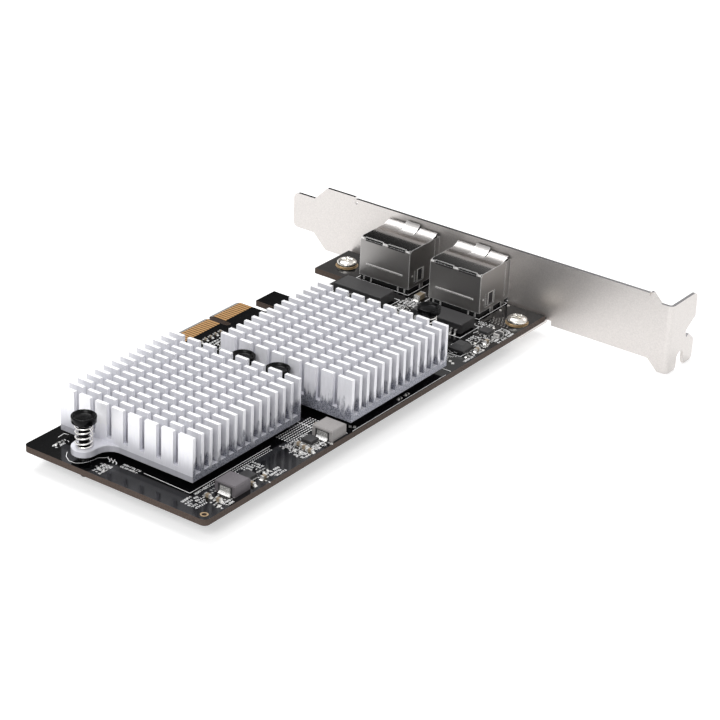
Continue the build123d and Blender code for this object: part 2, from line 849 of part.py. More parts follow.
def thermal_pad(name):
    """Pad that fills the space between chip and heatsink."""
    x, y = sink_centres[name]
    half = chip_sizes[name] / 2 - chip_edge
    return block((x - half, x + half), (y - half, y + half), (chip_height, sink_under_z))


def clip_face(side):
    """Terminal clip as (X, Z): a foot under the body's end and a leg up its side."""
    t, end = clip_thickness, inductor_length / 2
    points = [
        (end - clip_foot, 0), (end, 0), (end, clip_rise), (end - t, clip_rise), (end - t, t),
        (end - clip_foot, t),
    ]
    return make_face(Polyline(*[(side * across, up) for across, up in points], close=True))


def inductor_clips(centre):
    """Both terminal clips of one inductor."""
    x, y = centre
    half = clip_width / 2
    return [along_y(Pos(x, 0) * clip_face(side), y - half, y + half) for side in (-1, 1)]


def inductor(centre):
    """Moulded body with room for its clips."""
    x, y = centre
    half_x, half_y = inductor_length / 2, inductor_width / 2
    body = block((x - half_x, x + half_x), (y - half_y, y + half_y), (0, inductor_height))
    body = chamfer(top_edges(body), inductor_edge)
    return body - inductor_clips(centre)


def chip_part(place, size):
    """Body and two end caps of a two-ended chip component on the board."""
    x, y, upright = place
    length, width, height, cap = size
    z = (0, height)
    inner, outer, half = length / 2 - cap, length / 2, width / 2
    spans = ((-inner, inner), (-outer, -inner), (inner, outer))
    if upright:
        return [block((x - half, x + half), (y + low, y + high), z) for low, high in spans]
    return [block((x + low, x + high), (y - half, y + half), z) for low, high in spans]


def capacitor_parts():
    """All ceramic capacitors, as triples of body and end caps."""
    parts = [chip_part(place, capacitor_sizes["large"]) for place in large_capacitors]
    parts += [chip_part(place, capacitor_sizes["block"]) for place in block_capacitors]
    start_x, row_y, pitch, count = tab_capacitor_row
    for i in range(count):
        parts.append(chip_part((start_x + i * pitch, row_y, True), capacitor_sizes["small"]))
    return parts


def package(x, y, length, width, height, edge=package_edge):
    """Moulded package with softened upper edges."""
    body = block((x - length / 2, x + length / 2), (y - width / 2, y + width / 2), (0, height))
    return chamfer(top_edges(body), edge)


def place_in_row(parts):
    """Moves everything so that the card's box stands centred on the ground plane."""
    low = (-ear_depth, tongue_tip_y, ear_low_z)
    high = (board_end_x, ear_face_y)
    shift = Pos(-(low[0] + high[0]) / 2, -(low[1] + high[1]) / 2, -low[2])
    return {name: [shift * piece for piece in pieces] for name, pieces in parts.items()}


def build():
    """Every piece of the card by node name."""
    parts = {
        "circuit_board": [circuit_board()],
        "plated_lands": screw_lands(),
        "edge_contacts_upper": edge_contacts((0, contact_thickness)),
        "edge_contacts_under": edge_contacts((board_low_z - contact_thickness, board_low_z)),
        "bracket": [bracket()],
        "bracket_screws": [bracket_screw(x, y) for x, y in screw_places],
    }
    for name, centre_y in jack_centres_y.items():
        spot = Pos(0, centre_y, 0)
        parts[f"jack_{name}_shield"] = [spot * jack_shield()]
        parts[f"jack_{name}_housing"] = [spot * jack_housing()]
        parts[f"jack_{name}_contacts"] = [spot * wire for wire in jack_contacts()]
        parts[f"jack_{name}_link_lens"] = [spot * indicator(-1)]
        parts[f"jack_{name}_activity_lens"] = [spot * indicator(1)]
        parts[f"magnetics_{name}"] = [magnetics_body(magnetics_centres[name])]
        parts[f"magnetics_{name}_leads"] = magnetics_leads(magnetics_centres[name])
    pins = pin_places()
    for name, turn in (("a", 0), ("b", 180)):
        parts[f"heatsink_{name}"] = [heatsink(name, turn)]
        parts[f"controller_{name}"] = [controller(name)]
        parts[f"thermal_pad_{name}"] = [thermal_pad(name)]
        parts[f"push_pins_{name}"] = [push_pin(x, y) for x, y in pins[name]]
        parts[f"pin_springs_{name}"] = [pin_spring(x, y) for x, y in pins[name]]
    for name, centre in inductor_centres.items():
        parts[f"inductor_{name}"] = [inductor(centre)]
        parts[f"inductor_{name}_clips"] = inductor_clips(centre)
    capacitors = capacitor_parts()
    parts["capacitor_bodies"] = [part[0] for part in capacitors]
    parts["capacitor_caps"] = [cap for part in capacitors for cap in part[1:]]
    resistors = [chip_part(place, resistor_size) for place in chip_resistors]
    parts["resistor_bodies"] = [part[0] for part in resistors]
    parts["resistor_caps"] = [cap for part in resistors for cap in part[1:]]
    for name, values in small_packages.items():
        parts[name] = [package(*values)]
    parts["choke"] = [package(*choke_centre, choke_size, choke_size, choke_height, edge=choke_edge)]
    diode = chip_part((*diode_centre, False), (*diode_size, diode_cap))
    parts["diode"] = diode[:1]
    parts["diode_caps"] = diode[1:]
    parts["memory_chip"] = [package(*memory_centre, *memory_size)]
    parts["crystal"] = [package(*crystal_centre, *crystal_size, edge=crystal_edge)]
    return place_in_row(parts)


os.makedirs("parts", exist_ok=True)
for name, pieces in build().items():
    solids = [solid for piece in pieces for solid in piece.solids()]
    whole = solids[0] if len(solids) == 1 else Compound(solids)
    export_step(whole, f"parts/{name}.step")
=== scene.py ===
"""Looks of a two-port network card: camera, light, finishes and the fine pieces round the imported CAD."""
import json
import math

import bpy
import numpy as np
from mathutils import Matrix, Vector


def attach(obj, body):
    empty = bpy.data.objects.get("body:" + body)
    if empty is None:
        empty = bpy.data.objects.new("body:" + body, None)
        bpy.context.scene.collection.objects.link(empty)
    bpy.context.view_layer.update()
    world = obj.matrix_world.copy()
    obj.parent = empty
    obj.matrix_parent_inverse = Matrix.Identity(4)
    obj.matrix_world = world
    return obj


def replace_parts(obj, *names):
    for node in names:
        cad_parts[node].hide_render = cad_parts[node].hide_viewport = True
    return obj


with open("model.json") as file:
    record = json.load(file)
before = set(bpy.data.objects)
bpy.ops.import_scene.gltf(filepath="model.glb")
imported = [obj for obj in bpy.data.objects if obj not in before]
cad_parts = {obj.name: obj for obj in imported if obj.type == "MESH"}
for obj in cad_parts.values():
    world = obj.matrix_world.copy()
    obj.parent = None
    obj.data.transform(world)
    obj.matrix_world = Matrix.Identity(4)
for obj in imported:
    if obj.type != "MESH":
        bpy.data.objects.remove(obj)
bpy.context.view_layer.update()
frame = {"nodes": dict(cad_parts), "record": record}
nodes = frame["nodes"]

# Sizes below are millimetres in the card's own axes: X from the bracket's inner face along the
# board, Y up from the finger tab's edge, Z up from the board's component side.
MM = 0.001
SHIFT = np.array((-63.425, -42.8, 5.6))
BOARD_UNDER = -1.57
JACK_MIDDLES = (23.36, 45.93)
JACK_HALF, JACK_BACK, JACK_TOP = 8.01, 13.27, 12.13
INDUCTORS = ((124.8, 62.0), (89.7, 62.8))
PIN_PLACES = {"a": ((135.5, 26.9), (87.7, 45.6)), "b": ((35.9, 53.3), (87.7, 35.0))}
PIN_HEAD_UNDER, PIN_HEAD_TOP = 8.9, 11.3
SINK_FLOOR = 3.4
SCREWS = (((9.0, 8.05), 0.5), ((9.0, 62.98), 1.1))


def metres(points):
    """Card millimetres to row-frame metres: add the shift, then times a thousandth."""
    return (np.asarray(points, float) + SHIFT) * MM


def card_x(x):
    """Row-frame metres of a card X."""
    return (x + float(SHIFT[0])) * MM


def card_z(z):
    """Row-frame metres of a card Z."""
    return (z + float(SHIFT[2])) * MM


# Shapes: each function gives points (n, 3) and a list of faces


def closed_rings(count, steps):
    """Faces of a stack of closed rings: quads from ring i to ring i + 1, and one face on each end ring."""
    i, j = np.arange(count - 1)[:, None], np.arange(steps)[None, :]
    after = (j + 1) % steps
    quads = np.stack([i * steps + j, i * steps + after, (i + 1) * steps + after, (i + 1) * steps + j], -1)
    ends = [list(range(steps))[::-1], [(count - 1) * steps + k for k in range(steps)]]
    return quads.reshape(-1, 4).tolist() + ends


def turned(profile, centre, steps):
    """Profile (r, z) turned about a vertical axis: x = cx + r cos t, y = cy + r sin t, closed at both ends.
    The profile runs from its lowest ring to its highest."""
    profile = np.asarray(profile, float)
    t = np.linspace(0, 2 * np.pi, steps, endpoint=False)
    r, z = profile[:, 0, None], profile[:, 1, None]
    rings = np.stack([centre[0] + r * np.cos(t), centre[1] + r * np.sin(t), z + 0 * t], -1)
    return rings.reshape(-1, 3), closed_rings(len(profile), steps)


def tube(path, radius, sides):
    """Round bar along a path (n, 3): each ring is r (cos t a + sin t b), with a level and b = a x direction."""
    path = np.asarray(path, float)
    along = np.gradient(path, axis=0)
    along /= np.linalg.norm(along, axis=1)[:, None]
    level = np.cross(along, (0, 0, 1.0))
    level /= np.maximum(np.linalg.norm(level, axis=1), 1e-9)[:, None]
    rise = np.cross(level, along)
    t = np.linspace(0, 2 * np.pi, sides, endpoint=False)[None, :, None]
    rings = path[:, None] + radius * (np.cos(t) * level[:, None] + np.sin(t) * rise[:, None])
    return rings.reshape(-1, 3), [face[::-1] for face in closed_rings(len(path), sides)]


BOX_CORNERS = np.array([(x, y, z) for z in (-1, 1) for x, y in ((-1, -1), (1, -1), (1, 1), (-1, 1))]) / 2
BOX_FACES = np.array([(0, 3, 2, 1), (4, 5, 6, 7), (0, 1, 5, 4), (1, 2, 6, 5), (2, 3, 7, 6), (3, 0, 4, 7)])


def slabs(centres, sizes, turns=0.0):
    """Boxes in one array: each corner is centre + turned (size * half corner sign), turns in radians."""
    centres, sizes = np.atleast_2d(centres).astype(float), np.atleast_2d(sizes).astype(float)
    turns = np.broadcast_to(turns, len(centres)).astype(float)
    local = BOX_CORNERS[None] * sizes[:, None]
    c, s = np.cos(turns)[:, None], np.sin(turns)[:, None]
    x = local[..., 0] * c - local[..., 1] * s
    y = local[..., 0] * s + local[..., 1] * c
    points = np.stack([x, y, local[..., 2]], -1) + centres[:, None]
    faces = BOX_FACES[None] + 8 * np.arange(len(centres))[:, None, None]
    return points.reshape(-1, 3), faces.reshape(-1, 4)


def joined(parts):
    """Several (points, faces) as one, with each one's face numbers moved up."""
    points, faces, start = [], [], 0
    for p, f in parts:
        points.append(np.asarray(p, float))
        faces += [[int(i) + start for i in face] for face in f]
        start += len(p)
    return np.concatenate(points), faces


# Shader nodes: these helpers take numbers and other nodes' sockets alike


def feed(tree, socket, value):
    """Give an input a constant, or link it to another node's output."""
    if isinstance(value, bpy.types.NodeSocket):
        tree.links.new(value, socket)
    else:
        socket.default_value = value


def add(tree, kind, **settings):
    """Node with its settings: in_3 feeds input 3, and in_Base_Color the input named Base Color."""
    node = tree.nodes.new(kind)
    for key, value in settings.items():
        if key.startswith("in_"):
            label = key[3:]
            feed(tree, node.inputs[int(label) if label.isdigit() else label.replace("_", " ")], value)
        else:
            setattr(node, key, value)
    return node


def calc(tree, operation, *values, clamp=False):
    """Output of a Math node."""
    node = add(tree, "ShaderNodeMath", operation=operation, use_clamp=clamp)
    for socket, value in zip(node.inputs, values):
        feed(tree, socket, value)
    return node.outputs[0]


def mapped(tree, value, low, high, to_low=0.0, to_high=1.0, kind="LINEAR"):
    """A value carried from one range to another and held within it."""
    node = add(tree, "ShaderNodeMapRange", clamp=True, interpolation_type=kind, in_0=value, in_1=low, in_2=high,
               in_3=to_low, in_4=to_high)
    return node.outputs[0]


def mixed(tree, factor, first, second, mode="MIX"):
    """Colour between two, or their product in the MULTIPLY mode."""
    node = add(tree, "ShaderNodeMix", data_type="RGBA", blend_type=mode, in_0=factor, in_6=first, in_7=second)
    return node.outputs[2]


def between(tree, factor, first, second):
    """Number between two."""
    return add(tree, "ShaderNodeMix", data_type="FLOAT", in_0=factor, in_2=first, in_3=second).outputs[0]


def fed_by(node, label):
    """The socket that an input is linked to."""
    return node.inputs[label].links[0].from_socket


def object_place(tree):
    """Object coordinates in metres, as a vector and as X, Y and Z."""
    place = add(tree, "ShaderNodeTexCoord").outputs["Object"]
    return place, add(tree, "ShaderNodeSeparateXYZ", in_0=place).outputs


def face_normal(tree):
    """X, Y and Z of the face's normal."""
    return add(tree, "ShaderNodeSeparateXYZ", in_0=add(tree, "ShaderNodeNewGeometry").outputs["Normal"]).outputs


def upright_mask(tree, limit):
    """1 on faces whose normal's Z is over the limit, else 0."""
    return calc(tree, "GREATER_THAN", face_normal(tree)[2], limit)


def node_group(name, inputs, outputs):
    """Empty shader group with named sockets, an input's as (name, socket type, default)."""
    group = bpy.data.node_groups.new(name, "ShaderNodeTree")
    for label, kind, value in inputs:
        group.interface.new_socket(label, in_out="INPUT", socket_type=kind).default_value = value
    for label, kind in outputs:
        group.interface.new_socket(label, in_out="OUTPUT", socket_type=kind)
    return group, group.nodes.new("NodeGroupInput").outputs, group.nodes.new("NodeGroupOutput").inputs


def grain_group():
    """Grain: noise of a set size shifts colour, roughness and height. Stretch squeezes it along an axis."""
    group, given, end = node_group(
        "grain",
        [("Color", "NodeSocketColor", (0.5, 0.5, 0.5, 1)), ("Roughness", "NodeSocketFloat", 0.4),
         ("Size", "NodeSocketFloat", 3000.0), ("Stretch", "NodeSocketVector", (1, 1, 1)),
         ("Colour Shift", "NodeSocketFloat", 0.1), ("Roughness Shift", "NodeSocketFloat", 0.1)],
        [("Color", "NodeSocketColor"), ("Roughness", "NodeSocketFloat"), ("Height", "NodeSocketFloat")])
    place, _ = object_place(group)
    squeezed = add(group, "ShaderNodeVectorMath", operation="MULTIPLY", in_0=place, in_1=given["Stretch"]).outputs[0]
    noise = add(group, "ShaderNodeTexNoise", noise_dimensions="3D", in_Vector=squeezed, in_Scale=given["Size"],
                in_Detail=4, in_Roughness=0.6).outputs[0]
    centred = calc(group, "SUBTRACT", noise, 0.5)
    shade = calc(group, "MULTIPLY_ADD", centred, given["Colour Shift"], 1.0)
    colour = add(group, "ShaderNodeVectorMath", operation="SCALE", in_0=given["Color"], in_Scale=shade).outputs[0]
    feed(group, end["Color"], colour)
    feed(group, end["Roughness"],
         calc(group, "MULTIPLY_ADD", centred, given["Roughness Shift"], given["Roughness"], clamp=True))
    feed(group, end["Height"], noise)
    return group


def edge_highlight_group():
    """Painted edge highlights: where a rounded normal leaves the true one, the colour goes towards the highlight
    colour.
    """
    group, given, end = node_group(
        "painted_edge_highlights",
        [("Color", "NodeSocketColor", (0.5, 0.5, 0.5, 1)), ("Rubbed", "NodeSocketColor", (0.8, 0.8, 0.8, 1)),
         ("Amount", "NodeSocketFloat", 0.5), ("Radius", "NodeSocketFloat", 0.0002)],
        [("Color", "NodeSocketColor"), ("Mask", "NodeSocketFloat")])
    rounded = add(group, "ShaderNodeBevel", samples=6, in_Radius=given["Radius"]).outputs[0]
    flat = add(group, "ShaderNodeNewGeometry").outputs["Normal"]
    same = add(group, "ShaderNodeVectorMath", operation="DOT_PRODUCT", in_0=rounded, in_1=flat).outputs["Value"]
    amount = calc(group, "MULTIPLY", mapped(group, same, 0.998, 0.8), given["Amount"], clamp=True)
    feed(group, end["Color"], mixed(group, amount, given["Color"], given["Rubbed"]))
    feed(group, end["Mask"], amount)
    return group


GRAIN = grain_group()
EDGE_HIGHLIGHTS = edge_highlight_group()


def finish(name, color, metallic=0.0, roughness=0.5, size=2500.0, stretch=(1, 1, 1), shift=0.15, rough_shift=0.15,
           bump=0.1, bump_depth=0.02, edge=None, edge_amount=0.5, edge_radius=0.12, edge_metal=None, coat=0.0,
           specular=0.5):
    """Principled finish with grain in colour, roughness and bump, and painted highlights along the edges where asked.
    """
    material = bpy.data.materials.new(name)
    material.use_nodes = True
    tree = material.node_tree
    shader = tree.nodes["Principled BSDF"]
    shader.inputs["Metallic"].default_value = metallic
    shader.inputs["Coat Weight"].default_value = coat
    shader.inputs["Specular IOR Level"].default_value = specular
    grain = add(tree, "ShaderNodeGroup", node_tree=GRAIN, in_Color=(*color, 1), in_Roughness=roughness, in_Size=size,
                in_Stretch=stretch, in_Colour_Shift=shift, in_Roughness_Shift=rough_shift).outputs
    relief = add(tree, "ShaderNodeBump", in_Strength=bump, in_Distance=bump_depth * MM, in_Height=grain["Height"])
    feed(tree, shader.inputs["Roughness"], grain["Roughness"])
    feed(tree, shader.inputs["Normal"], relief.outputs[0])
    if edge is None:
        feed(tree, shader.inputs["Base Color"], grain["Color"])
        return material
    # Painted highlight: the colour leans towards a paler one along the edges
    highlighted = add(tree, "ShaderNodeGroup", node_tree=EDGE_HIGHLIGHTS, in_Color=grain["Color"], in_Rubbed=(*edge, 1),
                 in_Amount=edge_amount, in_Radius=edge_radius * MM).outputs
    feed(tree, shader.inputs["Base Color"], highlighted["Color"])
    if edge_metal is not None:
        feed(tree, shader.inputs["Metallic"], mapped(tree, highlighted["Mask"], 0, 1, metallic, edge_metal))
    return material


def shield_finish():
    """Tinned sheet: mirror-like on top, with a painted reflection that darkens it towards the back; rougher on the
    folded sides, which carry painted shade; painted highlights along the folds; and satin spring fingers by the
    bracket, which carry painted shade."""
    material = finish("tinned_shield", (0.8, 0.775, 0.76), 1.0, 0.1, 9000, shift=0.05, rough_shift=0.05, bump=0.02,
                      bump_depth=0.003, edge=(0.98, 0.97, 0.96), edge_amount=1.0, edge_radius=0.3, edge_metal=0.1)
    # The side and finger levels multiply the colour: painted shade on the folded sides and on the spring fingers
    side_rough, side_metal, side_level = 0.33, 0.93, 0.47
    finger_rough, finger_metal, finger_level = 0.3, 0.9, -0.3
    tree = material.node_tree
    shader = tree.nodes["Principled BSDF"]
    _, (x, _, _) = object_place(tree)
    top = upright_mask(tree, 0.5)
    fingers = calc(tree, "MULTIPLY", top, mapped(tree, x, card_x(5.2), card_x(3.6)))
    rough, metal = fed_by(shader, "Roughness"), fed_by(shader, "Metallic")
    rough = between(tree, top, side_rough, rough)
    metal = between(tree, top, calc(tree, "MULTIPLY", metal, side_metal), metal)
    feed(tree, shader.inputs["Roughness"], between(tree, fingers, rough, finger_rough))
    feed(tree, shader.inputs["Metallic"], between(tree, fingers, metal, finger_metal))
    # Painted reflection on the top, darker towards the back, and painted shade on the sides and fingers
    to_back = mapped(tree, x, card_x(5.5), card_x(12.5), 0.8, 0.28)
    level = calc(tree, "MULTIPLY_ADD", fingers, finger_level, mapped(tree, top, 0, 1, side_level, to_back))
    highlighted = shader.inputs["Base Color"].links[0].from_node
    feed(tree, highlighted.inputs["Color"], mixed(tree, 1.0, fed_by(highlighted, "Color"), level, "MULTIPLY"))
    return material


def board_finish():
    """Black solder mask with buried tracks on the faces, and brown layered laminate on the cut edges."""
    material = finish("solder_mask", (0.0012, 0.0012, 0.0014), roughness=0.11, size=9000, shift=0.25,
                      rough_shift=0.06, bump=0.08, bump_depth=0.005)
    layer_pitch = 0.26 * MM
    tree = material.node_tree
    shader = tree.nodes["Principled BSDF"]
    place, (_, _, z) = object_place(tree)
    tracks = add(tree, "ShaderNodeTexBrick", offset=0.37, offset_frequency=3, squash=0.6, squash_frequency=2,
                 in_Vector=place, in_Color1=(0.0008, 0.0008, 0.001, 1), in_Color2=(0.002, 0.002, 0.0024, 1),
                 in_Mortar=(0.005, 0.005, 0.006, 1), in_Scale=420.0, in_Mortar_Size=0.03, in_Brick_Width=1.7,
                 in_Row_Height=0.33).outputs["Color"]
    buried = mixed(tree, 0.55, fed_by(shader, "Base Color"), tracks)
    wave = calc(tree, "SINE", calc(tree, "MULTIPLY", z, 2 * math.pi / layer_pitch))
    layers = mixed(tree, mapped(tree, wave, -1, 1), (0.045, 0.034, 0.029, 1), (0.15, 0.113, 0.095, 1))
    cut = add(tree, "ShaderNodeGroup", node_tree=GRAIN, in_Color=layers, in_Size=2600, in_Colour_Shift=0.7,
              in_Roughness=0.75).outputs["Color"]
    is_face = calc(tree, "GREATER_THAN", calc(tree, "ABSOLUTE", face_normal(tree)[2]), 0.6)
    feed(tree, shader.inputs["Base Color"], mixed(tree, is_face, cut, buried))
    feed(tree, shader.inputs["Specular IOR Level"], mapped(tree, is_face, 0, 1, 0.04, 0.5))
    return material


def fin_corner(name):
    """Largest X and Y of a heatsink's fins, from the corners higher than its ears."""
    mesh = nodes[name].data
    corners = np.empty(len(mesh.vertices) * 3, np.float32)
    mesh.vertices.foreach_get("co", corners)
    corners = corners.reshape(-1, 3)
    return [float(v) for v in corners[corners[:, 2] > corners[:, 2].max() - MM, :2].max(0)]


def heatsink_painted_light_finish():
    """Bare aluminium with saw-cut fins, and painted light: the fins' tops painted white as if lit, and painted shade
    fading their sides down into a grey base. Along the long +Y side, and on heatsink B's outermost face, ragged runs
    of painted shade end in a dark mottled foot."""
    material = finish("heatsink_aluminium", (0.88, 0.88, 0.92), 0.25, 0.36, 1500, stretch=(1, 1, 0.2), shift=0.2,
                      rough_shift=0.3, bump=0.3, bump_depth=0.015, edge=(1.0, 1.0, 1.0), edge_amount=1.0,
                      edge_radius=0.17)
    tree = material.node_tree
    shader = tree.nodes["Principled BSDF"]
    sides = fed_by(shader, "Base Color")
    normal_x = face_normal(tree)[0]
    place, (x, y, z) = object_place(tree)

    def smooth(value, low, high, to_low=0.0, to_high=1.0):
        """Smooth step of a value between two limits."""
        return mapped(tree, value, low, high, to_low, to_high, "SMOOTHSTEP")

    def ragged(size, up):
        """Noise stretched upwards."""
        squeezed = add(tree, "ShaderNodeVectorMath", operation="MULTIPLY", in_0=place, in_1=(1, 1, up)).outputs[0]
        return add(tree, "ShaderNodeTexNoise", in_Vector=squeezed, in_Scale=size, in_Detail=3).outputs[0]

    # The painted shade of the mottled foot ends at a height that the noise moves by up to 11 mm, and the painted
    # shade on the plain sides fades slowly
    end_height = calc(tree, "MULTIPLY_ADD", ragged(900, 0.3), -11 * MM, z)
    mottle = smooth(ragged(3800, 1.0), 0.35, 0.68)
    dark = mixed(tree, mottle, (0.13, 0.135, 0.16, 1), (0.5, 0.51, 0.56, 1))
    foot_shade = mixed(tree, smooth(end_height, card_z(-1.6), card_z(1.8)), dark, (1, 1, 1, 1))
    walls = mixed(tree, smooth(z, card_z(3.4), card_z(9.0)), (0.78, 0.78, 0.8, 1), (1.1, 1.1, 1.1, 1))
    plain = mixed(tree, smooth(z, card_z(3.1), card_z(3.2)), (0.5, 0.5, 0.52, 1), walls)

    # Where the painted shade of the foot shows: within 2 to 7 mm of each +Y side, on B's outermost face, never on A's
    # or on top
    (end_a, side_a), (end_b, side_b) = fin_corner("heatsink_a"), fin_corner("heatsink_b")
    on_a = calc(tree, "GREATER_THAN", x, end_b + 4 * MM)
    inward = calc(tree, "SUBTRACT", between(tree, on_a, side_b, side_a), y)
    outer_b = calc(tree, "COMPARE", x, end_b, 0.2 * MM)
    inner_a = calc(tree, "LESS_THAN", x, end_a - 0.2 * MM)
    shown = calc(tree, "MAXIMUM", smooth(inward, 2 * MM, 7 * MM, 1.0, 0.0), outer_b)
    shown = calc(tree, "MULTIPLY", shown, inner_a)
    shown = calc(tree, "MULTIPLY", shown, calc(tree, "SUBTRACT", 1.0, upright_mask(tree, 0.8)))

    # Painted shade makes the inner faces along X darker than the outer ones, and painted light makes the tops white
    behind = calc(tree, "MULTIPLY", calc(tree, "ABSOLUTE", normal_x), calc(tree, "SUBTRACT", inner_a, outer_b))
    shaded = add(tree, "ShaderNodeVectorMath", operation="SCALE", in_0=sides,
                 in_Scale=smooth(behind, 0, 1, 1.05, 0.8)).outputs[0]
    depth = mixed(tree, 1.0, shaded, mixed(tree, shown, plain, foot_shade), "MULTIPLY")
    top = calc(tree, "MULTIPLY", upright_mask(tree, 0.8), smooth(z, card_z(12.5), card_z(12.7)))
    feed(tree, shader.inputs["Base Color"], mixed(tree, top, depth, (0.98, 0.98, 1.0, 1)))
    return material


def nickel_finish():
    """Satin nickel sheet with fine mottling and painted highlights along the folds; faces that look up are smoother,
    mirror the room, and carry a painted dark reflection in their colour.
    """
    material = finish("satin_nickel", (0.68, 0.65, 0.63), 0.92, 0.4, 2800, shift=0.4, rough_shift=0.15, bump=0.3,
                      bump_depth=0.006, edge=(0.95, 0.94, 0.93), edge_amount=0.9, edge_radius=0.12, edge_metal=0.4)
    tree = material.node_tree
    shader = tree.nodes["Principled BSDF"]
    top = upright_mask(tree, 0.9)
    for label, value in (("Roughness", 0.12), ("Metallic", 1.0)):
        feed(tree, shader.inputs[label], between(tree, top, fed_by(shader, label), value))
    # Painted dark reflection: faces that look up are given a darker colour
    feed(tree, shader.inputs["Base Color"], mixed(tree, top, fed_by(shader, "Base Color"), (0.4, 0.39, 0.4, 1)))
    return material


# Wherever a finish below is given an edge colour, that colour is a painted highlight along the edges.
finishes = {
    "solder_mask": board_finish(),
    "gold_plate": finish("gold_plate", (0.62, 0.35, 0.14), 0.6, 0.34, 4000, shift=0.2),
    "satin_nickel": nickel_finish(),
    "screw_nickel": finish("screw_nickel", (0.7, 0.68, 0.64), 1.0, 0.2, 3000, shift=0.1),
    "tinned_shield": shield_finish(),
    "contact_gold": finish("contact_gold", (0.83, 0.6, 0.28), 1.0, 0.22, 3000),
    "lens_green": finish("lens_green", (0.45, 0.7, 0.42), 0.0, 0.25, 2000, shift=0.1, coat=0.3),
    "lens_amber": finish("lens_amber", (0.75, 0.52, 0.2), 0.0, 0.25, 2000, shift=0.1, coat=0.3),
    "housing_black": finish("housing_black", (0.008, 0.008, 0.008), 0.0, 0.5, 5000, bump=0.25, specular=0.2),
    "heatsink_aluminium": heatsink_painted_light_finish(),
    "pin_nylon": finish("pin_nylon", (0.0006, 0.0006, 0.0008), 0.0, 0.24, 4000, bump=0.05, specular=0.12),
    "spring_steel": finish("spring_steel", (0.82, 0.8, 0.78), 1.0, 0.16, 4000),
    "thermal_pad": finish("thermal_pad", (0.4, 0.42, 0.45), 0.0, 0.7, 3000),
    "tinned_terminal": finish("tinned_terminal", (0.85, 0.84, 0.82), 0.7, 0.26, 4000, shift=0.25, bump=0.3),
    "inductor_grey": finish("inductor_grey", (0.115, 0.104, 0.114), 0.0, 0.5, 2800, shift=0.7, rough_shift=0.2,
                            bump=0.6, bump_depth=0.02, edge=(0.2, 0.18, 0.17)),
    "capacitor_tan": finish("capacitor_tan", (0.24, 0.19, 0.13), 0.0, 0.35, 5000, shift=0.3),
    "resistor_black": finish("resistor_black", (0.012, 0.012, 0.013), 0.0, 0.3, 4000),
    "can_metal": finish("can_metal", (0.7, 0.69, 0.66), 1.0, 0.25, 4000),
    "package_black": finish("package_black", (0.017, 0.0165, 0.0175), 0.0, 0.42, 8000, shift=0.35, bump=0.4,
                            bump_depth=0.012, specular=0.6),
}
land_gold = finish("land_gold", (0.42, 0.3, 0.17), 0.6, 0.35, 4000, shift=0.3)
inductor_pale = finish("inductor_pale", (0.29, 0.275, 0.27), 0.0, 0.5, 2800, shift=0.6, rough_shift=0.2, bump=0.7,
                       bump_depth=0.02, edge=(0.5, 0.48, 0.49))
silk_white = finish("silkscreen_white", (0.9, 0.9, 0.9), 0.0, 0.6, 6000, shift=0.12, bump=0.2)

slot_of = {row["node"]: row["material_slot"] for row in frame["record"]["subparts"]}
OWN_FINISHES = {"plated_lands": land_gold, "inductor_2": inductor_pale}
WITH_ROUNDS = ("bracket", "circuit_board", "heatsink_a", "heatsink_b")


def smooth_rounds(mesh):
    """Smooth shading on the faces that lean away from every axis, so flat faces stay flat."""
    normals = np.empty(len(mesh.polygons) * 3, np.float32)
    mesh.polygons.foreach_get("normal", normals)
    leaning = np.abs(normals.reshape(-1, 3)).max(1) < 0.9995
    mesh.polygons.foreach_set("use_smooth", leaning)


for node_name, node in nodes.items():
    slot_name = slot_of[node_name]
    node.data.materials.clear()
    node.data.materials.append(OWN_FINISHES.get(node_name, finishes[slot_name]))
    if node_name in WITH_ROUNDS or node_name.endswith(("_shield", "_lens")):
        smooth_rounds(node.data)
        weld = node.modifiers.new("joined_corners", "WELD")
        weld.merge_threshold = 1e-6
        split = node.modifiers.new("sharp_edges", "EDGE_SPLIT")
        split.split_angle = math.radians(28)


def piece(name, shape, slot, material=None, smooth=False):
    """A mesh from a shape's points and faces, riding on the root body, with its slot's finish or its own."""
    points, faces = shape
    mesh = bpy.data.meshes.new(name)
    mesh.from_pydata(metres(points).tolist(), [], [list(map(int, f)) for f in faces])
    mesh.materials.append(material or finishes[slot])
    mesh.polygons.foreach_set("use_smooth", [smooth] * len(mesh.polygons))
    mesh.update()
    obj = bpy.data.objects.new(name, mesh)
    bpy.context.scene.collection.objects.link(obj)
    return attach(obj, "root")


# Push pins, springs and screws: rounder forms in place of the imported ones


def pin_profile():
    """Moulded pin as (r, z) from tip to head: straight runs for barb, shaft and the cone under the head, an
    arc r = middle + radius cos t, z = middle + radius sin t for the rim, and a bowl in the top."""
    tip, barb, under, top = BOARD_UNDER - 2.9, BOARD_UNDER - 0.45, PIN_HEAD_UNDER, PIN_HEAD_TOP
    shaft_radius, barb_radius, rim_middle, rim_radius = 1.25, 1.92, 2.78, 0.26
    low = [(0.1, tip), (0.75, tip), (0.9, tip + 0.15), (barb_radius, barb), (barb_radius, BOARD_UNDER - 0.05),
           (shaft_radius, BOARD_UNDER - 0.01), (shaft_radius, under - 0.1), (1.35, under), (1.85, under)]
    cone = [(2.0, under + 0.1), (2.95, under + 0.78)]
    t = np.radians(np.linspace(-10, 90, 7))
    rim = np.column_stack([rim_middle + rim_radius * np.cos(t), top - 0.27 + rim_radius * np.sin(t)])
    bowl = [(2.62, top - 0.05), (2.5, top - 0.2), (2.25, top - 0.6), (2.1, top - 0.72), (1.9, top - 0.76),
            (1.0, top - 0.78), (0.1, top - 0.78)]
    return np.vstack([low, cone, rim, bowl])


